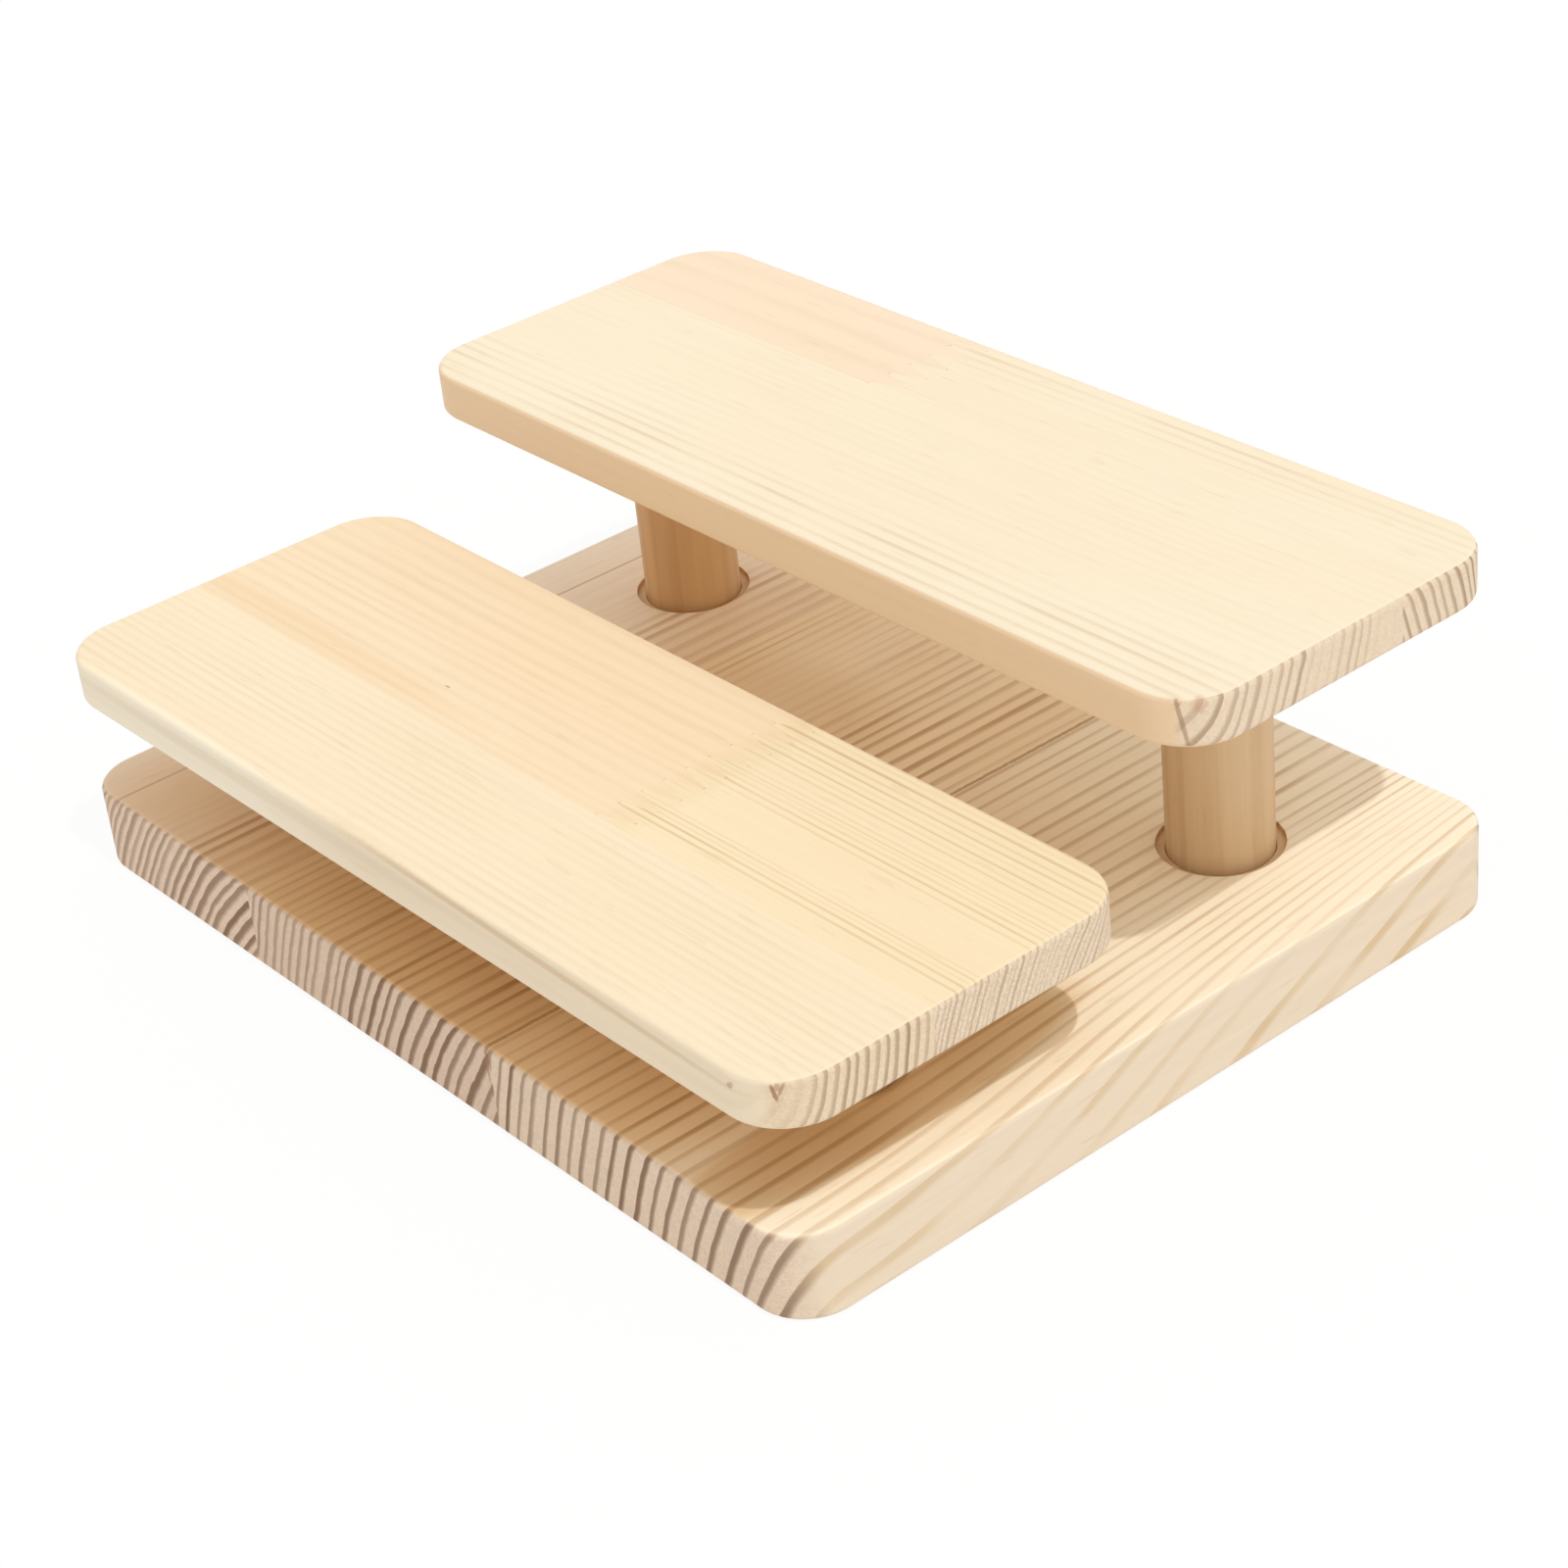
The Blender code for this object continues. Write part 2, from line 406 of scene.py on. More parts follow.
def saw_off(piece, place, normal):
    """Cut away everything past a flat saw line, on the side that the normal points to."""
    select_only(piece)
    bpy.ops.object.mode_set(mode="EDIT")
    bpy.ops.mesh.select_all(action="SELECT")
    bpy.ops.mesh.bisect(plane_co=place, plane_no=normal, use_fill=True, clear_outer=True)
    bpy.ops.object.mode_set(mode="OBJECT")


def glue_line(first, second, axis):
    """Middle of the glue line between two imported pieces."""
    return (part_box(first)[1][axis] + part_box(second)[0][axis]) / 2


left, middle, last = BASE_NODES
left_joint = Vector((glue_line(left, middle, 0), 0, 0))
right_joint = Vector((glue_line(middle, last, 0), 0, 0))
for node in BASE_NODES:
    PIECES[node] = copy_of(base_board, node + "_wood")
saw_off(PIECES[left], left_joint, TO_RIGHT)
saw_off(PIECES[middle], left_joint, TO_LEFT)
saw_off(PIECES[middle], right_joint, TO_RIGHT)
saw_off(PIECES[last], right_joint, TO_LEFT)
bpy.data.objects.remove(base_board, do_unlink=True)
print("glue lines in mm:", round(left_joint.x / MM, 2), round(right_joint.x / MM, 2))

# %% [markdown]
# ## The finger joint
#
# The back stave of each shelf is two blocks, joined end to end by short tapered fingers. The
# zigzag is drawn as by hand: one point is extruded from corner to corner, the line is extruded
# sideways into a face, and the face upwards into a cutter. The slopes of the fingers touch, and
# their blunt ends stop a hair short, which leaves the fine dashes of the joint.

# %% Zigzag of the fingers
FINGER_LENGTH = 9 * MM
FINGER_PITCH = 5.8 * MM
FINGER_TIP = 0.8 * MM


def finger_line(middle, low_y, high_y, short):
    """Corners of the zigzag, from front to back, with its blunt ends held short to the right."""
    count = max(1, round((high_y - low_y) / FINGER_PITCH))
    pitch = (high_y - low_y) / count
    inset = short * ((pitch / 2 - FINGER_TIP) / FINGER_LENGTH)
    near_x = middle - FINGER_LENGTH / 2 + short
    far_x = middle + FINGER_LENGTH / 2 + short
    points = [(near_x, low_y - pitch), (near_x, low_y + FINGER_TIP + inset)]
    for finger in range(count):
        start = low_y + finger * pitch
        points += [(far_x, start + pitch / 2 + inset),
                   (far_x, start + pitch / 2 + FINGER_TIP - inset),
                   (near_x, start + pitch - inset),
                   (near_x, start + pitch + FINGER_TIP + inset)]
    points[-1] = (near_x, high_y + pitch)
    return points


print("fingers in mm:", round(FINGER_LENGTH / MM, 1), "long,", round(FINGER_PITCH / MM, 1), "apart")

# %% Finger cutter


def extrude(x, y, z):
    """Extrude what is selected by a step."""
    bpy.ops.mesh.extrude_region_move(TRANSFORM_OT_translate={"value": (x, y, z)})


def finger_cutter(points, reach, low_z, high_z):
    """A block with the zigzag on one side, reaching past the board along X."""
    bpy.ops.object.select_all(action="DESELECT")
    bpy.ops.mesh.primitive_plane_add(size=MM, location=(*points[0], low_z))
    cutter = bpy.context.object
    bpy.ops.object.transform_apply()
    bpy.ops.object.mode_set(mode="EDIT")
    bpy.ops.mesh.select_mode(type="VERT")
    bpy.ops.mesh.select_all(action="SELECT")
    bpy.ops.mesh.merge(type="CENTER")
    for (x0, y0), (x1, y1) in zip(points, points[1:]):
        extrude(x1 - x0, y1 - y0, 0)
    for step in ((reach, 0, 0), (0, 0, high_z - low_z)):
        bpy.ops.mesh.select_all(action="SELECT")
        extrude(*step)
    bpy.ops.mesh.select_all(action="SELECT")
    bpy.ops.mesh.normals_make_consistent(inside=False)
    bpy.ops.object.mode_set(mode="OBJECT")
    return cutter


# %% [markdown]
# ## The two shelves
#
# Each shelf is a whole stave at the front and the stave of two blocks at the back. It is made as
# the base was: one eased board, bored from below for its posts, then copied for each piece and
# sawn. The blocks are cut with the zigzag instead of a flat saw line.

# %% Both shelves
SHELF_CORNER = 14 * MM
SHELF_EDGE = 1.3 * MM
SHELF_BORE_RADIUS = 11.65 * MM
SHELF_BORE_DEPTH = 5 * MM
FINGER_END_GAP = 0.1 * MM
CUTTER_PAST = 5 * MM
TO_FRONT, TO_BACK = (0, -1, 0), (0, 1, 0)

for row in ("front", "rear"):
    nodes = [f"{row}_shelf_{part}" for part in ("front_stave", "left_block", "right_block")]
    front, left, last = nodes
    low, high = whole_box(nodes)
    board = eased_board(row + "_shelf_board", low, high, SHELF_CORNER, SHELF_EDGE)
    for post in POSTS:
        if post.startswith(row):
            bore(board, POST_CENTRE[post], SHELF_BORE_RADIUS, low.z, SHELF_BORE_DEPTH)
    seam = Vector((0, glue_line(front, left, 1), 0))
    for node, waste in zip(nodes, (TO_BACK, TO_FRONT, TO_FRONT)):
        PIECES[node] = copy_of(board, node + "_wood")
        saw_off(PIECES[node], seam, waste)
    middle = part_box(left)[1][0] - FINGER_LENGTH / 2
    length = high.x - low.x
    for node, short, reach in ((left, 0, length), (last, FINGER_END_GAP, -length)):
        zigzag = finger_line(middle, seam.y, high.y, short)
        cutter = finger_cutter(zigzag, reach, low.z - CUTTER_PAST, high.z + CUTTER_PAST)
        subtract(PIECES[node], cutter)
    bpy.data.objects.remove(board, do_unlink=True)
    print(row, "seam at y", round(seam.y / MM, 2), "fingers at x", round(middle / MM, 2), "mm")

# %% [markdown]
# ## The posts
#
# A post is a length of dowel with a small chamfer at each end. One cylinder is bevelled at both
# rims and copied for the second post of the row, since both are the same length.

# %% Posts
POST_SIDES = 72
POST_CHAMFER = 0.8 * MM
CHAMFER_STEPS = 2

for row in ("front", "rear"):
    low, high = (Vector(corner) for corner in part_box(row + "_left_post"))
    bpy.ops.object.select_all(action="DESELECT")
    bpy.ops.mesh.primitive_cylinder_add(vertices=POST_SIDES, radius=(high.x - low.x) / 2,
                                        depth=high.z - low.z, location=(low + high) / 2)
    post = bpy.context.object
    post.name = row + "_left_post_wood"
    bpy.ops.object.transform_apply()
    ease_edges(post, level, POST_CHAMFER, CHAMFER_STEPS)
    twin = copy_of(post, row + "_right_post_wood")
    select_only(twin)
    twin.location = POST_CENTRE[row + "_right_post"] - POST_CENTRE[row + "_left_post"]
    bpy.ops.object.transform_apply()
    PIECES[row + "_left_post"] = post
    PIECES[row + "_right_post"] = twin
    print(row, "posts, length in mm:", round((high.z - low.z) / MM, 1))

# %% [markdown]
# ## Smooth shading
#
# The rounded edges have only a few faces, so they are shaded smooth, with sharp edges kept where
# the angle is large. Smooth shading alone would bend the light on the big flat faces next to a
# rounded edge. A Weighted Normal modifier lets the big faces win, so they stay flat. Each piece
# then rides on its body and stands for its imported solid.

# %% Shade the pieces and set them on their bodies
SHARP_ANGLE = math.radians(35)

for node, piece in PIECES.items():
    select_only(piece)
    bpy.ops.object.shade_smooth_by_angle(angle=SHARP_ANGLE)
    flat = piece.modifiers.new("flat_faces", "WEIGHTED_NORMAL")
    flat.keep_sharp = True
    bpy.ops.object.modifier_apply(modifier=flat.name)
    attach(piece, BODY_OF[node])
    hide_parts(node)
faces = sum(len(piece.data.polygons) for piece in PIECES.values())
print("pieces:", len(PIECES), "faces:", faces)

# %% [markdown]
# ## Growth rings, right through the wood
#
# Pine shows its rings as lines on the faces and as curved bands on the end grain, and the two meet
# at every edge. A flat picture on each face couldn't do that. Here the rings are a solid pattern:
# the distance from the pith, the middle of the tree, is divided by the width of a ring. The
# fraction that is left says how far a point is into its year's growth. The dark late wood comes up
# slowly and stops at a sharp edge, and some years are darker than others.

# %% Helpers for node groups


def new_group(name, inputs, outputs):
    """An empty shader node group, its inputs to read from and its outputs to feed."""
    group = bpy.data.node_groups.new(name, "ShaderNodeTree")
    for socket, value in inputs.items():
        kind = "NodeSocketVector" if isinstance(value, tuple) else "NodeSocketFloat"
        group.interface.new_socket(socket, in_out="INPUT", socket_type=kind).default_value = value
    for socket in outputs:
        group.interface.new_socket(socket, in_out="OUTPUT", socket_type="NodeSocketFloat")
    start, end = group.nodes.new("NodeGroupInput"), group.nodes.new("NodeGroupOutput")
    return group, start.outputs, end.inputs


def times(tree, first, second):
    """One product."""
    return calc(tree, "MULTIPLY", first, second)


def plus(tree, first, second):
    """One sum."""
    return calc(tree, "ADD", first, second)


def minus(tree, first, second):
    """One difference."""
    return calc(tree, "SUBTRACT", first, second)


def vector_calc(tree, operation, *values):
    """One Vector Math node."""
    node = add_node(tree, "VectorMath", dict(enumerate(values)), operation=operation)
    return node.outputs["Value"] if operation in ("LENGTH", "DOT_PRODUCT") else node.outputs[0]


def ramp(tree, value, low, high, to_low=0.0, to_high=1.0, smooth=True):
    """Map a value from one range to another, held at both ends."""
    inputs = dict(enumerate((value, low, high, to_low, to_high)))
    kind = "SMOOTHSTEP" if smooth else "LINEAR"
    return add_node(tree, "MapRange", inputs, interpolation_type=kind).outputs[0]


# %% Helpers for noise


def noise(tree, place, scale, detail=2.0):
    """A noise value in space; the scale is in bumps per metre."""
    inputs = {"Vector": place, "Scale": scale, "Detail": detail}
    return add_node(tree, "TexNoise", inputs).outputs[0]


def grain_noise(tree, place, squeeze, scale, detail=2.0):
    """Noise that is drawn out along the grain, by squeezing the place along it."""
    return noise(tree, vector_calc(tree, "MULTIPLY", place, (1, 1, squeeze)), scale, detail)


def moved_by_seed(tree, place, seed, axis):
    """A place moved along one axis by the seed, so that each stave gets its own noise."""
    return vector_calc(tree, "ADD", place, add_node(tree, "CombineXYZ", {axis: seed}).outputs[0])


# %% Node group: growth_rings
SLOW_WANDER = (0.16, 24)    # squeeze along the grain and scale
QUICK_WANDER = (0.10, 180)
QUICK_SHARE = 0.3
YEAR_SCALE = 0.33           # weather changes over about three years
YEAR_SEED_STEP = 7.3
TONE_SEED_STEP = 31.7
LATE_BEGINS = 1.35          # in late shares before the ring's end
LATE_IS_FULL = 0.6
LATE_STOPS = (0.93, 1.0)    # in rings

rings, given, result = new_group(
    "growth_rings",
    {"From Pith": (0, 0, 0), "Ring Width": 3 * MM, "Wander": 3 * MM, "Late Share": 0.4,
     "Unevenness": 0.5, "Shift": 0.0, "Seed": 0.0, "Middle Radius": 0.0, "Widening": 0.0},
    ["Late Wood", "Ring Tone", "Radius"])

# Distance from the pith, strayed a little from a circle
across = vector_calc(rings, "MULTIPLY", given["From Pith"], (1, 1, 0))
place = moved_by_seed(rings, given["From Pith"], given["Seed"], "X")
slow = minus(rings, grain_noise(rings, place, *SLOW_WANDER), 0.5)
quick = minus(rings, grain_noise(rings, place, *QUICK_WANDER), 0.5)
stray = plus(rings, slow, times(rings, quick, QUICK_SHARE))
circle = plus(rings, vector_calc(rings, "LENGTH", across), given["Shift"])
radius = plus(rings, circle, times(rings, stray, given["Wander"]))

# Rings counted from the middle radius, growing wider or narrower, with good and bad years
steps = minus(rings, radius, given["Middle Radius"])
steps = calc(rings, "DIVIDE", steps, given["Ring Width"])
wider = times(rings, times(rings, steps, 0.5), given["Widening"])
count = times(rings, steps, minus(rings, 1.0, wider))
other_years = plus(rings, count, times(rings, given["Seed"], YEAR_SEED_STEP))
weather = add_node(rings, "TexNoise", {"W": other_years, "Scale": YEAR_SCALE, "Detail": 1.0},
                   noise_dimensions="1D")
swing = times(rings, given["Unevenness"], 2.0)
good_years = times(rings, minus(rings, weather.outputs[0], 0.5), swing)
age = plus(rings, count, good_years)

# Late wood by the season, and one tone for each year
season = calc(rings, "FRACT", age)
begin = minus(rings, 1.0, times(rings, given["Late Share"], LATE_BEGINS))
full = minus(rings, 1.0, times(rings, given["Late Share"], LATE_IS_FULL))
ending = ramp(rings, season, *LATE_STOPS, 1.0, 0.0)
late = times(rings, ramp(rings, season, begin, full), ending)
year = plus(rings, calc(rings, "FLOOR", age), times(rings, given["Seed"], TONE_SEED_STEP))
tone = add_node(rings, "TexWhiteNoise", {"W": year}, noise_dimensions="1D")

feed(rings, result["Late Wood"], late)
feed(rings, result["Ring Tone"], tone.outputs["Value"])
feed(rings, result["Radius"], radius)
print("growth_rings nodes:", len(rings.nodes))

# %% [markdown]
# ## Fibres
#
# Between the rings, sanded pine shows fine streaks along the fibres, and here and there a short
# dark dash, which is a resin canal cut open. Its tone also changes slowly from place to place. All
# of these are noise, drawn out along the grain, and differ only in size, so one table holds them.

# %% Node group: wood_fibre
FIBRE_NOISES = {            # squeeze along the grain, scale and detail
    "Streak": (0.035, 420, 3),
    "Fine": (0.02, 2200, 2),
    "Dash": (0.11, 900, 0),
    "Cloud": (0.35, 26, 2),
    "Patch": (0.45, 60, 1),
    "Pore": (0.1, 1700, 2),
}
DASH_LIMITS = (0.74, 0.82)  # only the highest noise becomes a dash

fibre, given, result = new_group(
    "wood_fibre", {"From Pith": (0, 0, 0), "Seed": 0.0}, FIBRE_NOISES)
place = moved_by_seed(fibre, given["From Pith"], given["Seed"], "Y")
for name, sizes in FIBRE_NOISES.items():
    value = grain_noise(fibre, place, *sizes)
    feed(fibre, result[name], ramp(fibre, value, *DASH_LIMITS) if name == "Dash" else value)
print("wood_fibre nodes:", len(fibre.nodes))

# %% [markdown]
# ## Soft spots
#
# Boards have local tones: brown pith at a corner, a place where the lines fade. Other spots are
# painted shade and light, such as the warmer, darker wood under a shelf and the brown floor of a
# socket. Each is an ellipsoid in the wood that fades from its core outwards, so one group serves
# them all. A spot may lean, which moves its middle sideways with height, and a ragged one has a
# noisy edge.

# %% Node group: soft_spot
RAGGED_SCALE = 700

spots, given, result = new_group(
    "soft_spot",
    {"Place": (0, 0, 0), "Centre": (0, 0, 0), "Reach": (3 * MM, 3 * MM, 3 * MM), "Lean": (0, 0, 0),
     "Raggedness": 0.6, "Core": 0.4}, ["Share"])
away = vector_calc(spots, "SUBTRACT", given["Place"], given["Centre"])
rise = add_node(spots, "SeparateXYZ", {0: away}).outputs["Z"]
leaned = add_node(spots, "VectorMath", {0: given["Lean"], "Scale": rise}, operation="SCALE")
straight = vector_calc(spots, "SUBTRACT", away, leaned.outputs[0])
in_reaches = vector_calc(spots, "DIVIDE", straight, given["Reach"])
edge_noise = minus(spots, noise(spots, given["Place"], RAGGED_SCALE), 0.5)
ragged = times(spots, edge_noise, given["Raggedness"])
distance = plus(spots, vector_calc(spots, "LENGTH", in_reaches), ragged)
feed(spots, result["Share"], ramp(spots, distance, given["Core"], 1.0, 1.0, 0.0))
print("soft_spot nodes:", len(spots.nodes))


def zone(centre, reach, strength, tint=None, ragged=0, core=0.4, lean=(0, 0, 0)):
    """Values of a soft spot with a smooth edge; its places are in mm."""
    return dict(centre=centre, reach=reach, strength=strength, tint=tint, ragged=ragged, core=core,
                lean=lean)


def flaw_and_painted_shade(centre, reach, strength, tint, ragged=0.8, lean=(0, 0, 0)):
    """Values of a small mark with a ragged edge, for flaws in the wood and for bands of painted
    shade.
    """
    return zone(centre, reach, strength, tint, ragged, lean=lean)


def spot_share(tree, place, spot):
    """How strongly one spot shows at a place."""
    inputs = {"Place": place, "Lean": spot["lean"], "Raggedness": spot["ragged"],
              "Core": spot["core"], "Centre": tuple(value * MM for value in spot["centre"]),
              "Reach": tuple(value * MM for value in spot["reach"])}
    node = add_node(tree, "Group", inputs, node_tree=spots)
    return times(tree, node.outputs["Share"], spot["strength"])


# %% [markdown]
# ## One pine for each stave
#
# Every stave came from its own place in its own tree, so each has its own pith, ring width and
# colour, while the way the wood is drawn is shared. A table of values for each stave is shorter
# than a material for each. A table gives the way of the grain, the pith, the ring width, a seed
# and the colours. Below is what else it may say, and what holds where it is silent.

# %% What else a stave's table may say
PINE = dict(
    wander=1.0,            # how far rings stray from a circle, in ring widths
    late=0.4,              # share of a ring that is late wood
    uneven=0.5,            # how much good and bad years differ
    middle=0.0,            # radius in mm at which the ring width is exact
    widening=0.0,          # how much wider each ring is than the one inside it
    slant=None,            # drift of the rings along the board
    choosy=1.0,            # above 1, fewer years are dark
    weakest=0.5,           # strength of the palest year
    patchy=0.4,            # how much the lines on the faces fade in patches
    face_lines=0.7,        # strength of the lines on the faces
    face_bands=None,       # and how it changes with the radius
    calm=(),               # zones in which the lines on the faces fade
    # the side's tone, and some zones and marks, are painted shade and light
    side=None,             # another tone on one side of the board
    zones=(),              # zones of another tone on the faces
    end_turn=(0.55, 0.7),  # how far a surface has to face along the grain to be end grain
    end_lines=1.0,         # strength of the rings in the end grain
    end_sharp=1.0,         # below 1, those rings are wider
    end_bands=None,        # and how their strength changes with the radius
    pores=0.16,            # strength of the pores in the end grain
    streaks=0.06,          # strength of the streaks
    marks=(),              # small marks over everything
)
print("values with a default:", len(PINE))

# %% [markdown]
# ## Rings and fibres in a stave
#
# The patterns run along Z around the pith, and the staves lie along X or Y. A Mapping node turns
# the place so that the stave's grain lies along Z, and moves the stave's pith to the middle.
# Turning the stave itself would move it out of its place. Where a tree grew askew, its rings drift
# along the board, and a shift of the radius draws that.

# %% Rings and fibres in a stave
GRAIN_TURN = {"x": (0, math.pi / 2, 0), "y": (math.pi / 2, 0, 0), "z": (0, 0, 0)}
SLANT_EASE = 0.06


def pith_offset(grain, across):
    """Where the Mapping node has to move a pith, given by its two places across the grain in mm."""
    a, b = across[0] * MM, across[1] * MM
    return {"x": (-b, -a, 0), "y": (-a, b, 0), "z": (-a, -b, 0)}[grain]


def drift(tree, place, slant):
    """Shift of the rings: it sets in between two places along X, and grows along Y from a third."""
    split = add_node(tree, "SeparateXYZ", {0: place}).outputs
    share = ramp(tree, split["X"], slant["start_x"] * MM, slant["full_x"] * MM)
    run = minus(tree, split["Y"], slant["from_y"] * MM)
    run = calc(tree, "SMOOTH_MAX", run, 0.0, SLANT_EASE)
    return times(tree, share, times(tree, run, slant["rate"]))


def grow(tree, wood):
    """Coordinates, rings and fibres of one stave."""
    coords = add_node(tree, "TexCoord").outputs
    turned = add_node(tree, "Mapping", {
        "Vector": coords["Object"], "Rotation": GRAIN_TURN[wood["grain"]],
        "Location": pith_offset(wood["grain"], wood["pith"])})
    shared = {"From Pith": turned.outputs[0], "Seed": wood["seed"]}
    ring = add_node(tree, "Group", {
        **shared, "Ring Width": wood["ring"] * MM, "Wander": wood["wander"] * wood["ring"] * MM,
        "Late Share": wood["late"], "Unevenness": wood["uneven"],
        "Middle Radius": wood["middle"] * MM, "Widening": wood["widening"]}, node_tree=rings)
    if wood["slant"]:
        feed(tree, ring.inputs["Shift"], drift(tree, coords["Object"], wood["slant"]))
    grain = add_node(tree, "Group", shared, node_tree=fibre)
    return coords, ring.outputs, grain.outputs


print("grain may run along", *GRAIN_TURN)

# %% [markdown]
# ## How strong the lines are
#
# The lines aren't equally dark. Some years stand out, some bands of rings are stronger than others,
# and on the faces the lines fade in patches. All of that only scales the late wood, so it is a row
# of products. The end grain has its own strength, as a cut across the fibres shows rings better.

# %% Strength of the lines
PATCH_RANGE = (0.35, 0.65)


def by_radius(tree, radius, stops):
    """A strength that changes from ring to ring, by pairs of a radius in mm and a strength."""
    first, last = stops[0][0], stops[-1][0]
    along = ramp(tree, radius, first * MM, last * MM, smooth=False)
    node = add_node(tree, "ValToRGB", {0: along})
    places = node.color_ramp.elements
    while len(places) < len(stops):
        places.new(0.5)
    for element, (distance, strength) in zip(places, stops):
        element.position = (distance - first) / (last - first)
        element.color = (strength, strength, strength, 1)
    return node.outputs["Color"]


def line_strengths(tree, wood, place, ring, grain):
    """The late wood, and how strongly it shows on the faces and in the end grain."""
    tone = calc(tree, "POWER", ring["Ring Tone"], wood["choosy"])
    each_year = ramp(tree, tone, 0.0, 1.0, wood["weakest"], 1.0, smooth=False)
    late = times(tree, ring["Late Wood"], each_year)
    patch = ramp(tree, grain["Patch"], *PATCH_RANGE, 1.0 - wood["patchy"], 1.0)
    on_face = times(tree, times(tree, late, patch), wood["face_lines"])
    on_end = times(tree, calc(tree, "POWER", late, wood["end_sharp"]), wood["end_lines"])
    if wood["face_bands"]:
        on_face = times(tree, on_face, by_radius(tree, ring["Radius"], wood["face_bands"]))
    if wood["end_bands"]:
        on_end = times(tree, on_end, by_radius(tree, ring["Radius"], wood["end_bands"]))
    for calm in wood["calm"]:
        on_face = times(tree, on_face, minus(tree, 1.0, spot_share(tree, place, calm)))
    return late, on_face, on_end


print("patches fade over", PATCH_RANGE)

# %% [markdown]
# ## The colours of the wood
#
# The early wood drifts between two light tones, and the lines darken it. The end grain drinks more
# and looks darker, so it has a second pair of colours, mixed in where the surface faces along the
# grain. One side of a board may have another tone, as the photographed light shows it. That tone is
# painted shade, while the side's own lines are grain.

# %% Colours of the wood
GRAIN_AXIS = {"x": (1, 0, 0), "y": (0, 1, 0), "z": (0, 0, 1)}
CLOUD_RANGE = (0.35, 0.7)
PORE_RANGE = (0.3, 0.75)
SIDE_TURN = (0.45, 0.8)


def face_colour(tree, wood, coords, grain, on_face):
    """Colour of the faces along the grain."""
    cloud = ramp(tree, grain["Cloud"], *CLOUD_RANGE)
    light, dark = mix_colour(tree, cloud, wood["light"], wood["second"]), wood["dark"]
    side = wood["side"]
    if side:
        facing = vector_calc(tree, "DOT_PRODUCT", coords["Normal"], side["towards"])
        share = ramp(tree, facing, *SIDE_TURN)
        light = mix_colour(tree, share, light, side["light"])
        dark = mix_colour(tree, share, dark, side["dark"])
        on_face = calc(tree, "POWER", on_face, ramp(tree, share, 0.0, 1.0, 1.0, side["sharp"]))
        on_face = times(tree, on_face, ramp(tree, share, 0.0, 1.0, 1.0, side["lines"]))
    colour = mix_colour(tree, on_face, light, dark)
    for area in wood["zones"]:
        share = spot_share(tree, coords["Object"], area)
        colour = mix_colour(tree, share, colour, area["tint"], "MULTIPLY")
    return colour


def end_colour(tree, wood, grain, on_end):
    """Colour of the end grain."""
    pores = ramp(tree, grain["Pore"], *PORE_RANGE, 0.0, wood["pores"])
    bare = mix_colour(tree, pores, wood["end_light"], wood["end_dark"])
    return mix_colour(tree, on_end, bare, wood["end_dark"])


def end_share(tree, wood, normal):
    """1 where the surface faces along the grain, 0 on the faces."""
    facing = vector_calc(tree, "DOT_PRODUCT", normal, GRAIN_AXIS[wood["grain"]])
    return ramp(tree, calc(tree, "ABSOLUTE", facing), *wood["end_turn"])


print("a side changes tone over", SIDE_TURN)

# %% [markdown]
# ## Streaks, marks and sheen
#
# Streaks and resin dashes lie over both kinds of surface, and marks over everything. Sanded,
# unoiled pine is dull. Late wood is harder and sands a little smoother, and end grain stays
# rougher. The fibres are far too fine to model, so a slight bump stands in for them.

# %% Streaks and marks
STREAK_RANGE = (0.3, 0.7)
DASH_SHARE = 0.15


def streaked(tree, wood, place, grain, streaks, colour):
    """A colour with the fibres' streaks, the resin dashes and the marks over it."""
    swing = wood["streaks"]
    shade = ramp(tree, streaks, *STREAK_RANGE, 1.0 - swing, 1.0 + swing, smooth=False)
    grey = add_node(tree, "CombineColor", {"Red": shade, "Green": shade, "Blue": shade})
    colour = mix_colour(tree, 1.0, colour, grey.outputs[0], "MULTIPLY")
    colour = mix_colour(tree, times(tree, grain["Dash"], DASH_SHARE), colour, wood["dark"])
    for mark in wood["marks"]:
        colour = mix_colour(tree, spot_share(tree, place, mark), colour, mark["tint"])
    return colour


# %% Sheen
ROUGH_FACE = (0.50, 0.62)
ROUGHER_END = 0.12
SMOOTHER_LATE = 0.06
SPECULAR = 0.3
BUMP_STRENGTH = 0.4
BUMP_DEPTH = 0.1 * MM
LATE_RELIEF, STREAK_RELIEF = 0.1, 0.6


def sheen(tree, shader, grain, streaks, late, end):
    """Roughness and relief of the surface."""
    rough = ramp(tree, grain["Fine"], *STREAK_RANGE, *ROUGH_FACE, smooth=False)
    rough = plus(tree, rough, times(tree, end, ROUGHER_END))
    rough = minus(tree, rough, times(tree, late, SMOOTHER_LATE))
    feed(tree, shader.inputs["Roughness"], rough)
    feed(tree, shader.inputs["Specular IOR Level"], SPECULAR)
    relief = plus(tree, times(tree, late, LATE_RELIEF), times(tree, streaks, STREAK_RELIEF))
    bump = add_node(tree, "Bump", {
        "Strength": BUMP_STRENGTH, "Distance": BUMP_DEPTH, "Height": relief})
    feed(tree, shader.inputs["Normal"], bump.outputs[0])


print("bump depth in mm:", round(BUMP_DEPTH / MM, 2))

# %% The whole pine
STREAK_SHARE, FINE_SHARE = 0.6, 0.4


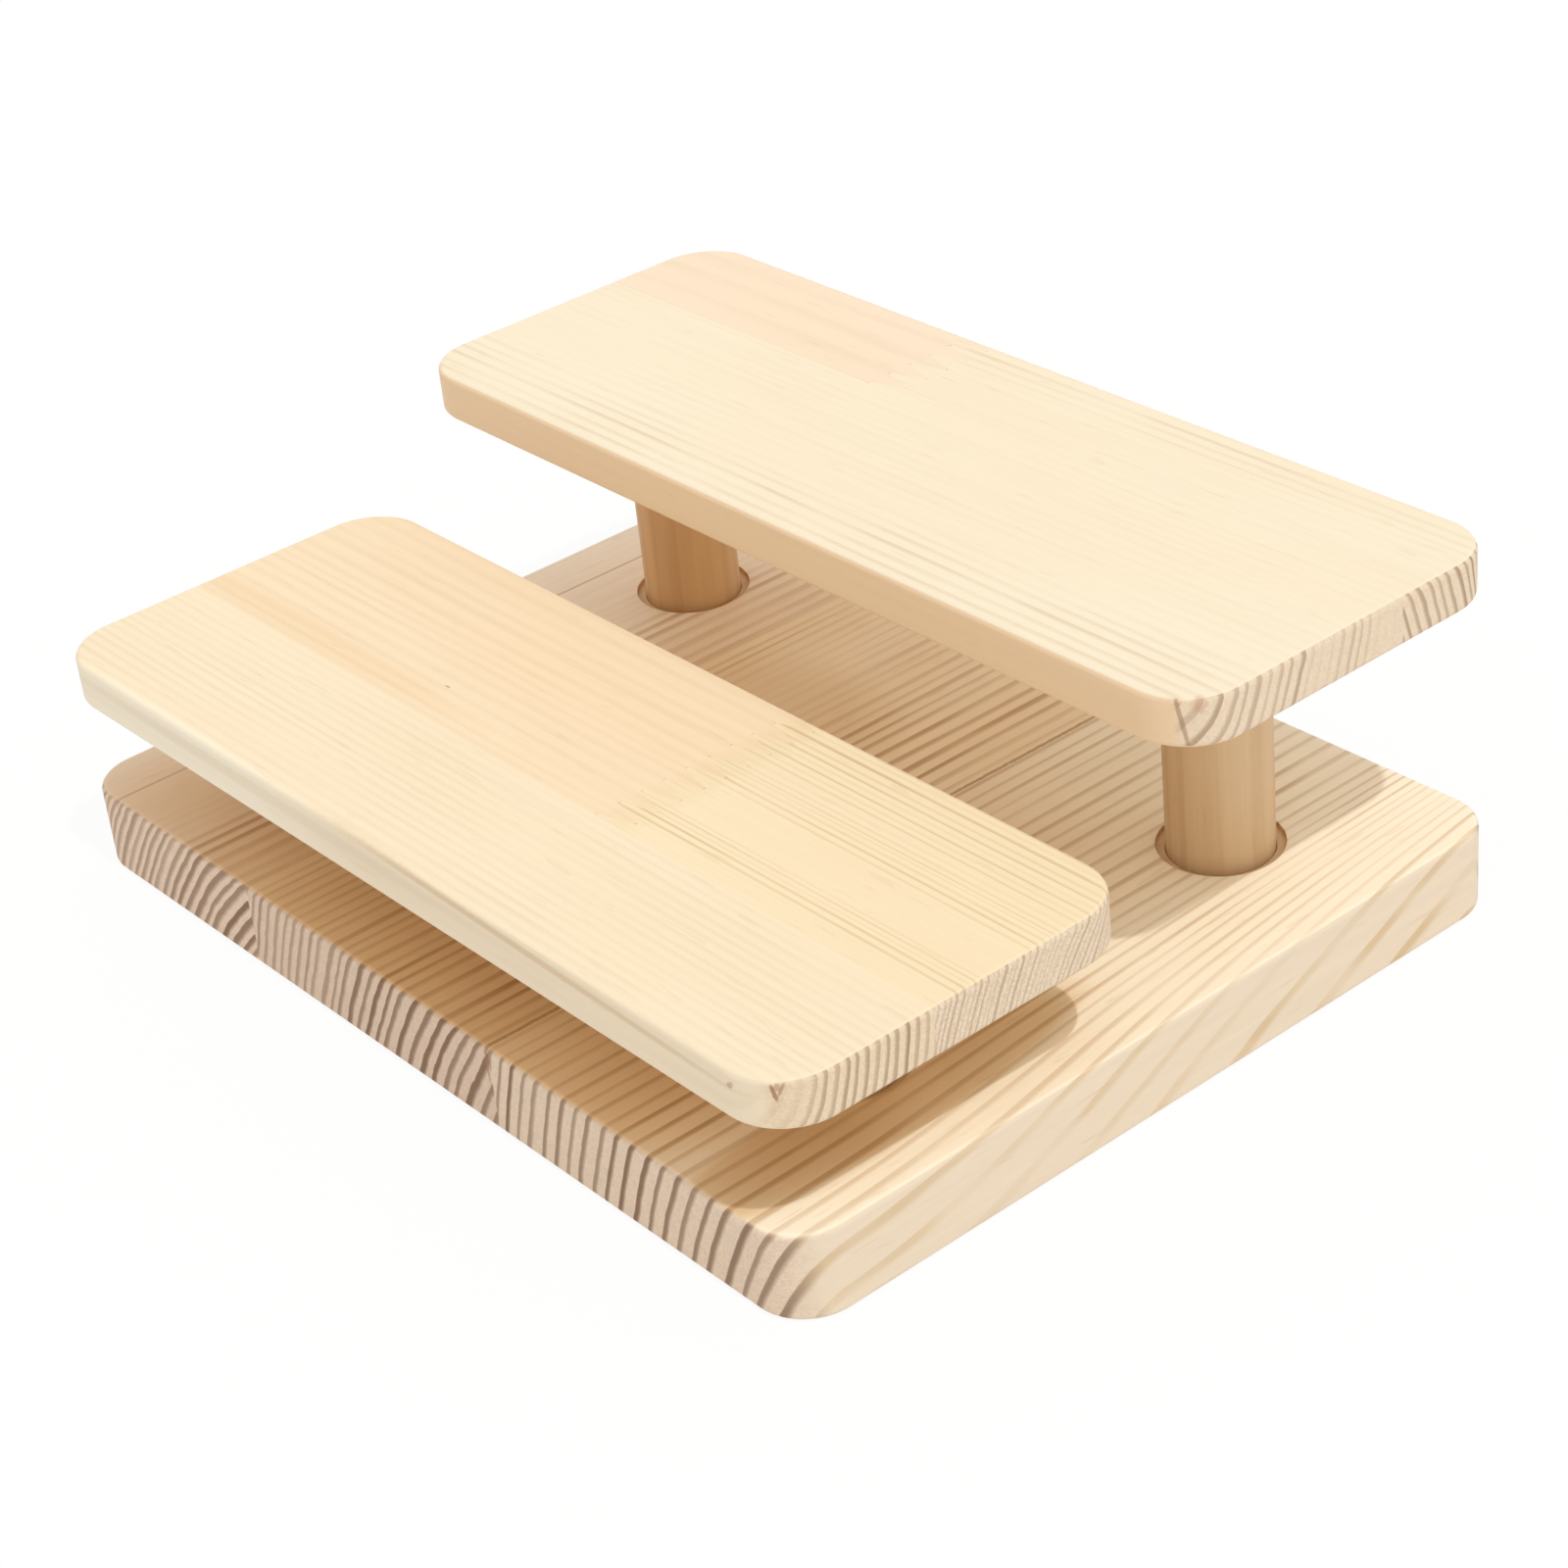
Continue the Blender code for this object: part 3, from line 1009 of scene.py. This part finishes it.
def pine(name, values):
    """One stave's material from its table of values."""
    wood = {**PINE, **values}
    material = bpy.data.materials.new(name)
    material.use_nodes = True
    tree = material.node_tree
    shader = tree.nodes["Principled BSDF"]
    coords, ring, grain = grow(tree, wood)
    late, on_face, on_end = line_strengths(tree, wood, coords["Object"], ring, grain)
    end = end_share(tree, wood, coords["Normal"])
    colour = mix_colour(tree, end, face_colour(tree, wood, coords, grain, on_face),
                        end_colour(tree, wood, grain, on_end))
    streaks = plus(tree, times(tree, grain["Streak"], STREAK_SHARE),
                   times(tree, grain["Fine"], FINE_SHARE))
    colour = streaked(tree, wood, coords["Object"], grain, streaks, colour)
    feed(tree, shader.inputs["Base Color"], colour)
    sheen(tree, shader, grain, streaks, late, end)
    return material


# %% [markdown]
# ## Pine of the base
#
# The piths and ring widths were read from the end grain: the lean of the rings says where the pith
# was, and their spacing says how fast the tree grew. Places are in millimetres, and the base's
# grain runs from front to back. Under the shelves, zones darken and warm the wood: that is painted
# shade, for the light that bounces between the boards, which the lamp and the room alone don't
# give.

# %% Values of the base's staves
BASE_TONES = dict(
    grain="y", light=(0.985, 0.82, 0.595), second=(0.97, 0.785, 0.545), dark=(0.54, 0.30, 0.12),
    end_light=(0.735, 0.58, 0.455), end_dark=(0.235, 0.135, 0.075), end_turn=(0.3, 0.9),
    end_sharp=0.65, face_lines=0.95, patchy=0.5, streaks=0.035)
# tints of painted shade, which darken and warm the base where the shelves shade it
FRONT_PAINTED_SHADE = (0.81, 0.655, 0.47)
RIGHT_PAINTED_SHADE = (0.87, 0.675, 0.47)
# painted shade on the middle of the base, under the front of the high shelf
MIDDLE_PAINTED_SHADE = zone((-25, 25, 21), (45, 30, 13), 0.45, FRONT_PAINTED_SHADE)
WOODS = {}
WOODS["base_left_stave"] = dict(
    BASE_TONES, pith=(18, -73), ring=2.65, middle=137, widening=-0.02, seed=1.3, late=0.5,
    light=(0.97, 0.845, 0.695), second=(0.96, 0.82, 0.66), end_light=(0.79, 0.625, 0.49),
    end_lines=1.1,
    face_bands=[(105, 0.6), (118, 0.6), (129, 0.6), (131, 1.0), (135, 1.0), (138, 0.25),
                (150, 0.06), (175, 0.06)],
    end_bands=[(105, 1.0), (128, 1.0), (136, 0.8), (142, 0.65), (150, 0.6), (165, 0.65)],
    zones=[zone((-50, 0, 20), (36, 400, 40), 1.0, (0.97, 0.90, 0.80)),
           # painted shade: the front strip under the low shelf is darkened and warmed
           zone((-60, -100, 20), (85, 60, 25), 0.75, FRONT_PAINTED_SHADE),
           MIDDLE_PAINTED_SHADE],
    marks=[zone((-109.6, 0, 20), (0.55, 400, 3), 0.55, (0.45, 0.28, 0.16))])
WOODS["base_middle_stave"] = dict(
    BASE_TONES, pith=(140, -68), ring=3.3, middle=170, widening=-0.0135, seed=2.6,
    face_lines=1.15, end_lines=1.2,
    face_bands=[(125, 0.85), (150, 0.8), (158, 1.0), (168, 1.0), (178, 0.8), (188, 0.5),
                (215, 0.5)],
    end_bands=[(130, 1.0), (168, 1.0), (178, 0.8), (186, 0.5), (198, 0.58), (215, 0.62)],
    calm=[zone((-25, 22, 20), (30, 60, 20), 0.65)],
    # painted shade under the low shelf, and under the front of the high shelf
    zones=[zone((10, -100, 21), (120, 80, 13), 1.0, FRONT_PAINTED_SHADE),
           MIDDLE_PAINTED_SHADE],
    marks=[flaw_and_painted_shade((31.2, 0, 20), (0.7, 400, 12), 0.7, (0.38, 0.20, 0.08))])
WOODS["base_right_stave"] = dict(
    BASE_TONES, pith=(218, -44), ring=4.2, middle=150, widening=-0.0104, seed=4.1, late=0.32,
    uneven=0.3, wander=0.5, slant=dict(start_x=88, full_x=128, rate=-0.235, from_y=-60),
    light=(0.99, 0.885, 0.705), second=(0.98, 0.865, 0.675), dark=(0.56, 0.355, 0.155),
    end_light=(0.79, 0.645, 0.505),
    face_bands=[(80, 0.6), (114, 0.65), (122, 0.8), (132, 0.85), (150, 1.0), (200, 1.0)],
    # painted shade: the right side's tone is darker than the top; its stronger, thinner lines are
    # grain
    side=dict(towards=TO_RIGHT, light=(0.80, 0.69, 0.54), dark=(0.62, 0.43, 0.205),
              lines=3.1, sharp=2.0),
    calm=[zone((80, 60, 20), (70, 70, 30), 0.18)],
    # painted shade: these four zones darken and warm the base where the shelves shade it, most
    # under the low shelf's right end
    zones=[zone((35, -75, 21), (80, 140, 13), 1.0, RIGHT_PAINTED_SHADE),
           zone((103, -60, 21), (13, 62, 13), 0.8, FRONT_PAINTED_SHADE, core=0.75),
           zone((104, -76, 21), (15, 34, 13), 1.0, (0.85, 0.78, 0.70), core=0.2),
           zone((74, 15, 21), (30, 45, 13), 0.25, FRONT_PAINTED_SHADE)])
print("ring widths of the base in mm:", [WOODS[node]["ring"] for node in BASE_NODES])

# %% [markdown]
# ## Painted shade in the seats
#
# Each seat, and a little of the top around each foot, is tinted brown as painted shade for the
# recess that the foot sits in. A brown material on the seat's faces would end in a hard line, so
# each seat is a flat soft spot just under its floor.

# %% Seats of the sockets
SEAT_PAINTED_SHADE = (0.70, 0.46, 0.225)
SEAT_MARK_HEIGHT = 18.2
SEAT_MARK_REACH = (36, 36, 2.0)
SEAT_MARK_STRENGTH = 0.8
SEAT_MARK_CORE = 0.75

for post in POSTS:
    centre = POST_CENTRE[post] / MM
    node = "base_left_stave" if "left" in post else "base_right_stave"
    # painted shade in and around the seat
    seat = zone((centre.x, centre.y, SEAT_MARK_HEIGHT), SEAT_MARK_REACH, SEAT_MARK_STRENGTH,
                SEAT_PAINTED_SHADE, core=SEAT_MARK_CORE)
    WOODS[node]["marks"] = WOODS[node].get("marks", []) + [seat]
    print(post, "has its seat in", node)

# %% [markdown]
# ## Pine of the low shelf
#
# The shelves are paler than the base, and their grain runs along them. The low shelf's front stave
# shows almost no lines on top, its left block is warm, and its right block has fine dark lines in
# bands. The brown pith at the near corner is four small ragged marks.

# %% Values of the low shelf
PITH_BROWN = (0.34, 0.18, 0.09)
PALE_TONES = dict(
    grain="x", light=(0.905, 0.80, 0.61), second=(0.895, 0.78, 0.58), dark=(0.62, 0.47, 0.275),
    end_light=(0.82, 0.69, 0.53), end_dark=(0.35, 0.23, 0.135), end_turn=(0.5, 0.65), streaks=0.02)
FINGER_ZONE = zone((31, -33.5, 55), (7, 60, 14), 0.6, (0.965, 0.94, 0.88))
WOODS["front_shelf_front_stave"] = dict(
    PALE_TONES, pith=(-118, 58), ring=2.4, seed=5.2, uneven=0.3, late=0.45, weakest=0.4, patchy=0.6,
    face_lines=0.2, end_lines=0.86, light=(0.905, 0.775, 0.56), second=(0.90, 0.76, 0.54),
    end_light=(0.81, 0.67, 0.49), end_dark=(0.30, 0.19, 0.10),
    end_bands=[(20, 0.1), (29, 0.15), (33, 0.85), (45, 0.9), (55, 1.0), (62, 1.0)],
    # painted shade: the front edge's tone is darker than the top
    side=dict(towards=TO_FRONT, light=(0.83, 0.72, 0.545), dark=(0.57, 0.42, 0.24),
              lines=0.8, sharp=1.0),
    # painted light: the left part of the front edge is lightened and cooled
    zones=[zone((-75, -97.5, 48.5), (80, 3, 14), 1.0, (1.07, 1.13, 1.21), core=0.3)],
    # painted shade: two soft brown bands along the front edge, one just under its rounded top
    marks=[flaw_and_painted_shade((51, -97.5, 52), (38, 5, 2.6), 0.5, (0.60, 0.42, 0.23), ragged=0.3,
                lean=(-29, 0, 0)),
           flaw_and_painted_shade((-40, -97.5, 50), (120, 4, 2.2), 0.35, (0.66, 0.56, 0.39), ragged=0.3,
                lean=(-10, 0, 0)),
           flaw_and_painted_shade((120.7, -93.5, 52.7), (0.9, 0.9, 1.3), 0.5, PITH_BROWN),
           flaw_and_painted_shade((120.2, -94.0, 51.7), (0.6, 0.6, 2.6), 0.85, PITH_BROWN, lean=(-0.18, -0.18, 0)),
           flaw_and_painted_shade((121.2, -93.0, 52.2), (0.5, 0.5, 2.2), 0.6, PITH_BROWN, lean=(0.32, 0.32, 0)),
           flaw_and_painted_shade((112.2, -97.5, 51.2), (1.0, 1.0, 1.2), 0.5, PITH_BROWN, lean=(0.3, 0, 0))])
WOODS["front_shelf_left_block"] = dict(
    PALE_TONES, pith=(60, -40), ring=2.5, seed=6.7, late=0.45, face_lines=0.22,
    light=(0.905, 0.74, 0.515), second=(0.90, 0.72, 0.49), dark=(0.68, 0.47, 0.255),
    zones=[zone((-85, -54.5, 54), (80, 5, 6), 1.0, (0.97, 0.935, 0.88), ragged=0.3),
           FINGER_ZONE],
    marks=[flaw_and_painted_shade((-40.5, -49, 54), (1.2, 0.4, 2.0), 0.6, PITH_BROWN)])
WOODS["front_shelf_right_block"] = dict(
    PALE_TONES, pith=(20, 18), ring=1.35, seed=7.9, choosy=1.2, weakest=0.25, face_lines=0.9,
    end_lines=0.6, pores=0.3, light=(0.905, 0.76, 0.52), second=(0.90, 0.745, 0.50),
    dark=(0.62, 0.445, 0.215),
    face_bands=[(40, 0.4), (47, 0.8), (51.5, 0.8), (53, 0.6), (58, 0.6), (60, 0.95), (66, 0.95),
                (67, 0.05), (76.5, 0.05), (77.5, 0.9), (82, 0.9), (83, 0.1), (90, 0.1)],
    zones=[FINGER_ZONE])
print("tables so far:", len(WOODS))

# %% [markdown]
# ## Pine of the high shelf
#
# The high shelf's front stave has strong rings in its right end, and painted shade darkens its
# front edge. Its left block is pinkish and nearly plain, and its right block has one clear band of
# lines.

# %% Values of the high shelf
WOODS["rear_shelf_front_stave"] = dict(
    PALE_TONES, pith=(-15, 96), ring=2.9, middle=50, widening=-0.02, seed=8.4, weakest=0.4,
    patchy=0.6, face_lines=0.55, end_lines=0.72,
    face_bands=[(20, 0.8), (37, 0.8), (42, 0.4), (50, 0.2), (95, 0.15)],
    end_bands=[(25, 1.0), (56, 1.0), (59, 0.12), (62, 0.12), (64, 0.55), (74, 0.55), (76, 0.08),
               (90, 0.08)],
    # painted shade: the front edge is darker and warmer than the top
    side=dict(towards=TO_FRONT, light=(0.81, 0.625, 0.425), dark=(0.57, 0.40, 0.23),
              lines=0.1, sharp=1.0),
    marks=[flaw_and_painted_shade((119.5, 10.5, 80.5), (0.7, 0.7, 9), 0.6, PITH_BROWN, ragged=0.4,
                lean=(-0.18, -0.12, 0)),
           flaw_and_painted_shade((122.0, 13, 83.6), (2.0, 2.0, 2.4), 0.4, (0.55, 0.31, 0.17), ragged=1.4)])
WOODS["rear_shelf_left_block"] = dict(
    PALE_TONES, pith=(20, -30), ring=4.0, seed=9.8, face_lines=0.15,
    light=(0.905, 0.75, 0.57), second=(0.90, 0.73, 0.545))
WOODS["rear_shelf_right_block"] = dict(
    PALE_TONES, pith=(-37, 41), ring=2.6, seed=10.6, uneven=0.35, patchy=0.7,
    face_lines=0.4, end_lines=0.95,
    face_bands=[(60, 0.25), (131, 0.25), (133, 1.0), (137, 1.0), (139, 0.25), (150, 0.25)],
    end_bands=[(100, 0.75), (118, 0.8), (126, 1.0), (150, 1.0)])
print("tables so far:", len(WOODS))

# %% [markdown]
# ## Pine of the posts
#
# The dowels are browner than the boards, the left ones a little redder, and their grain stands
# upright. Each pith lies outside its dowel, as it does when dowels are turned from split wood. With
# the last tables written, every piece gets its pine.

# %% Values of the posts, and a pine on every piece
POST_TONES = dict(
    grain="z", light=(0.71, 0.525, 0.33), second=(0.655, 0.45, 0.26), dark=(0.48, 0.275, 0.115),
    end_light=(0.80, 0.62, 0.44), end_dark=(0.40, 0.24, 0.13), ring=3.4, face_lines=0.3, patchy=0.1)
LEFT_POST_TONES = dict(light=(0.745, 0.50, 0.27), second=(0.695, 0.43, 0.21))
POST_PITH = (-26, 14)
FIRST_POST_SEED, POST_SEED_STEP = 12.5, 1.7

for number, post in enumerate(POSTS):
    centre = POST_CENTRE[post] / MM
    WOODS[post] = dict(POST_TONES, pith=(centre.x + POST_PITH[0], centre.y + POST_PITH[1]),
                       seed=FIRST_POST_SEED + POST_SEED_STEP * number)
    if "left" in post:
        WOODS[post].update(LEFT_POST_TONES)
for node, piece in PIECES.items():
    piece.data.materials.clear()
    piece.data.materials.append(pine(node + "_pine", WOODS[node]))
print("pines:", len(WOODS))
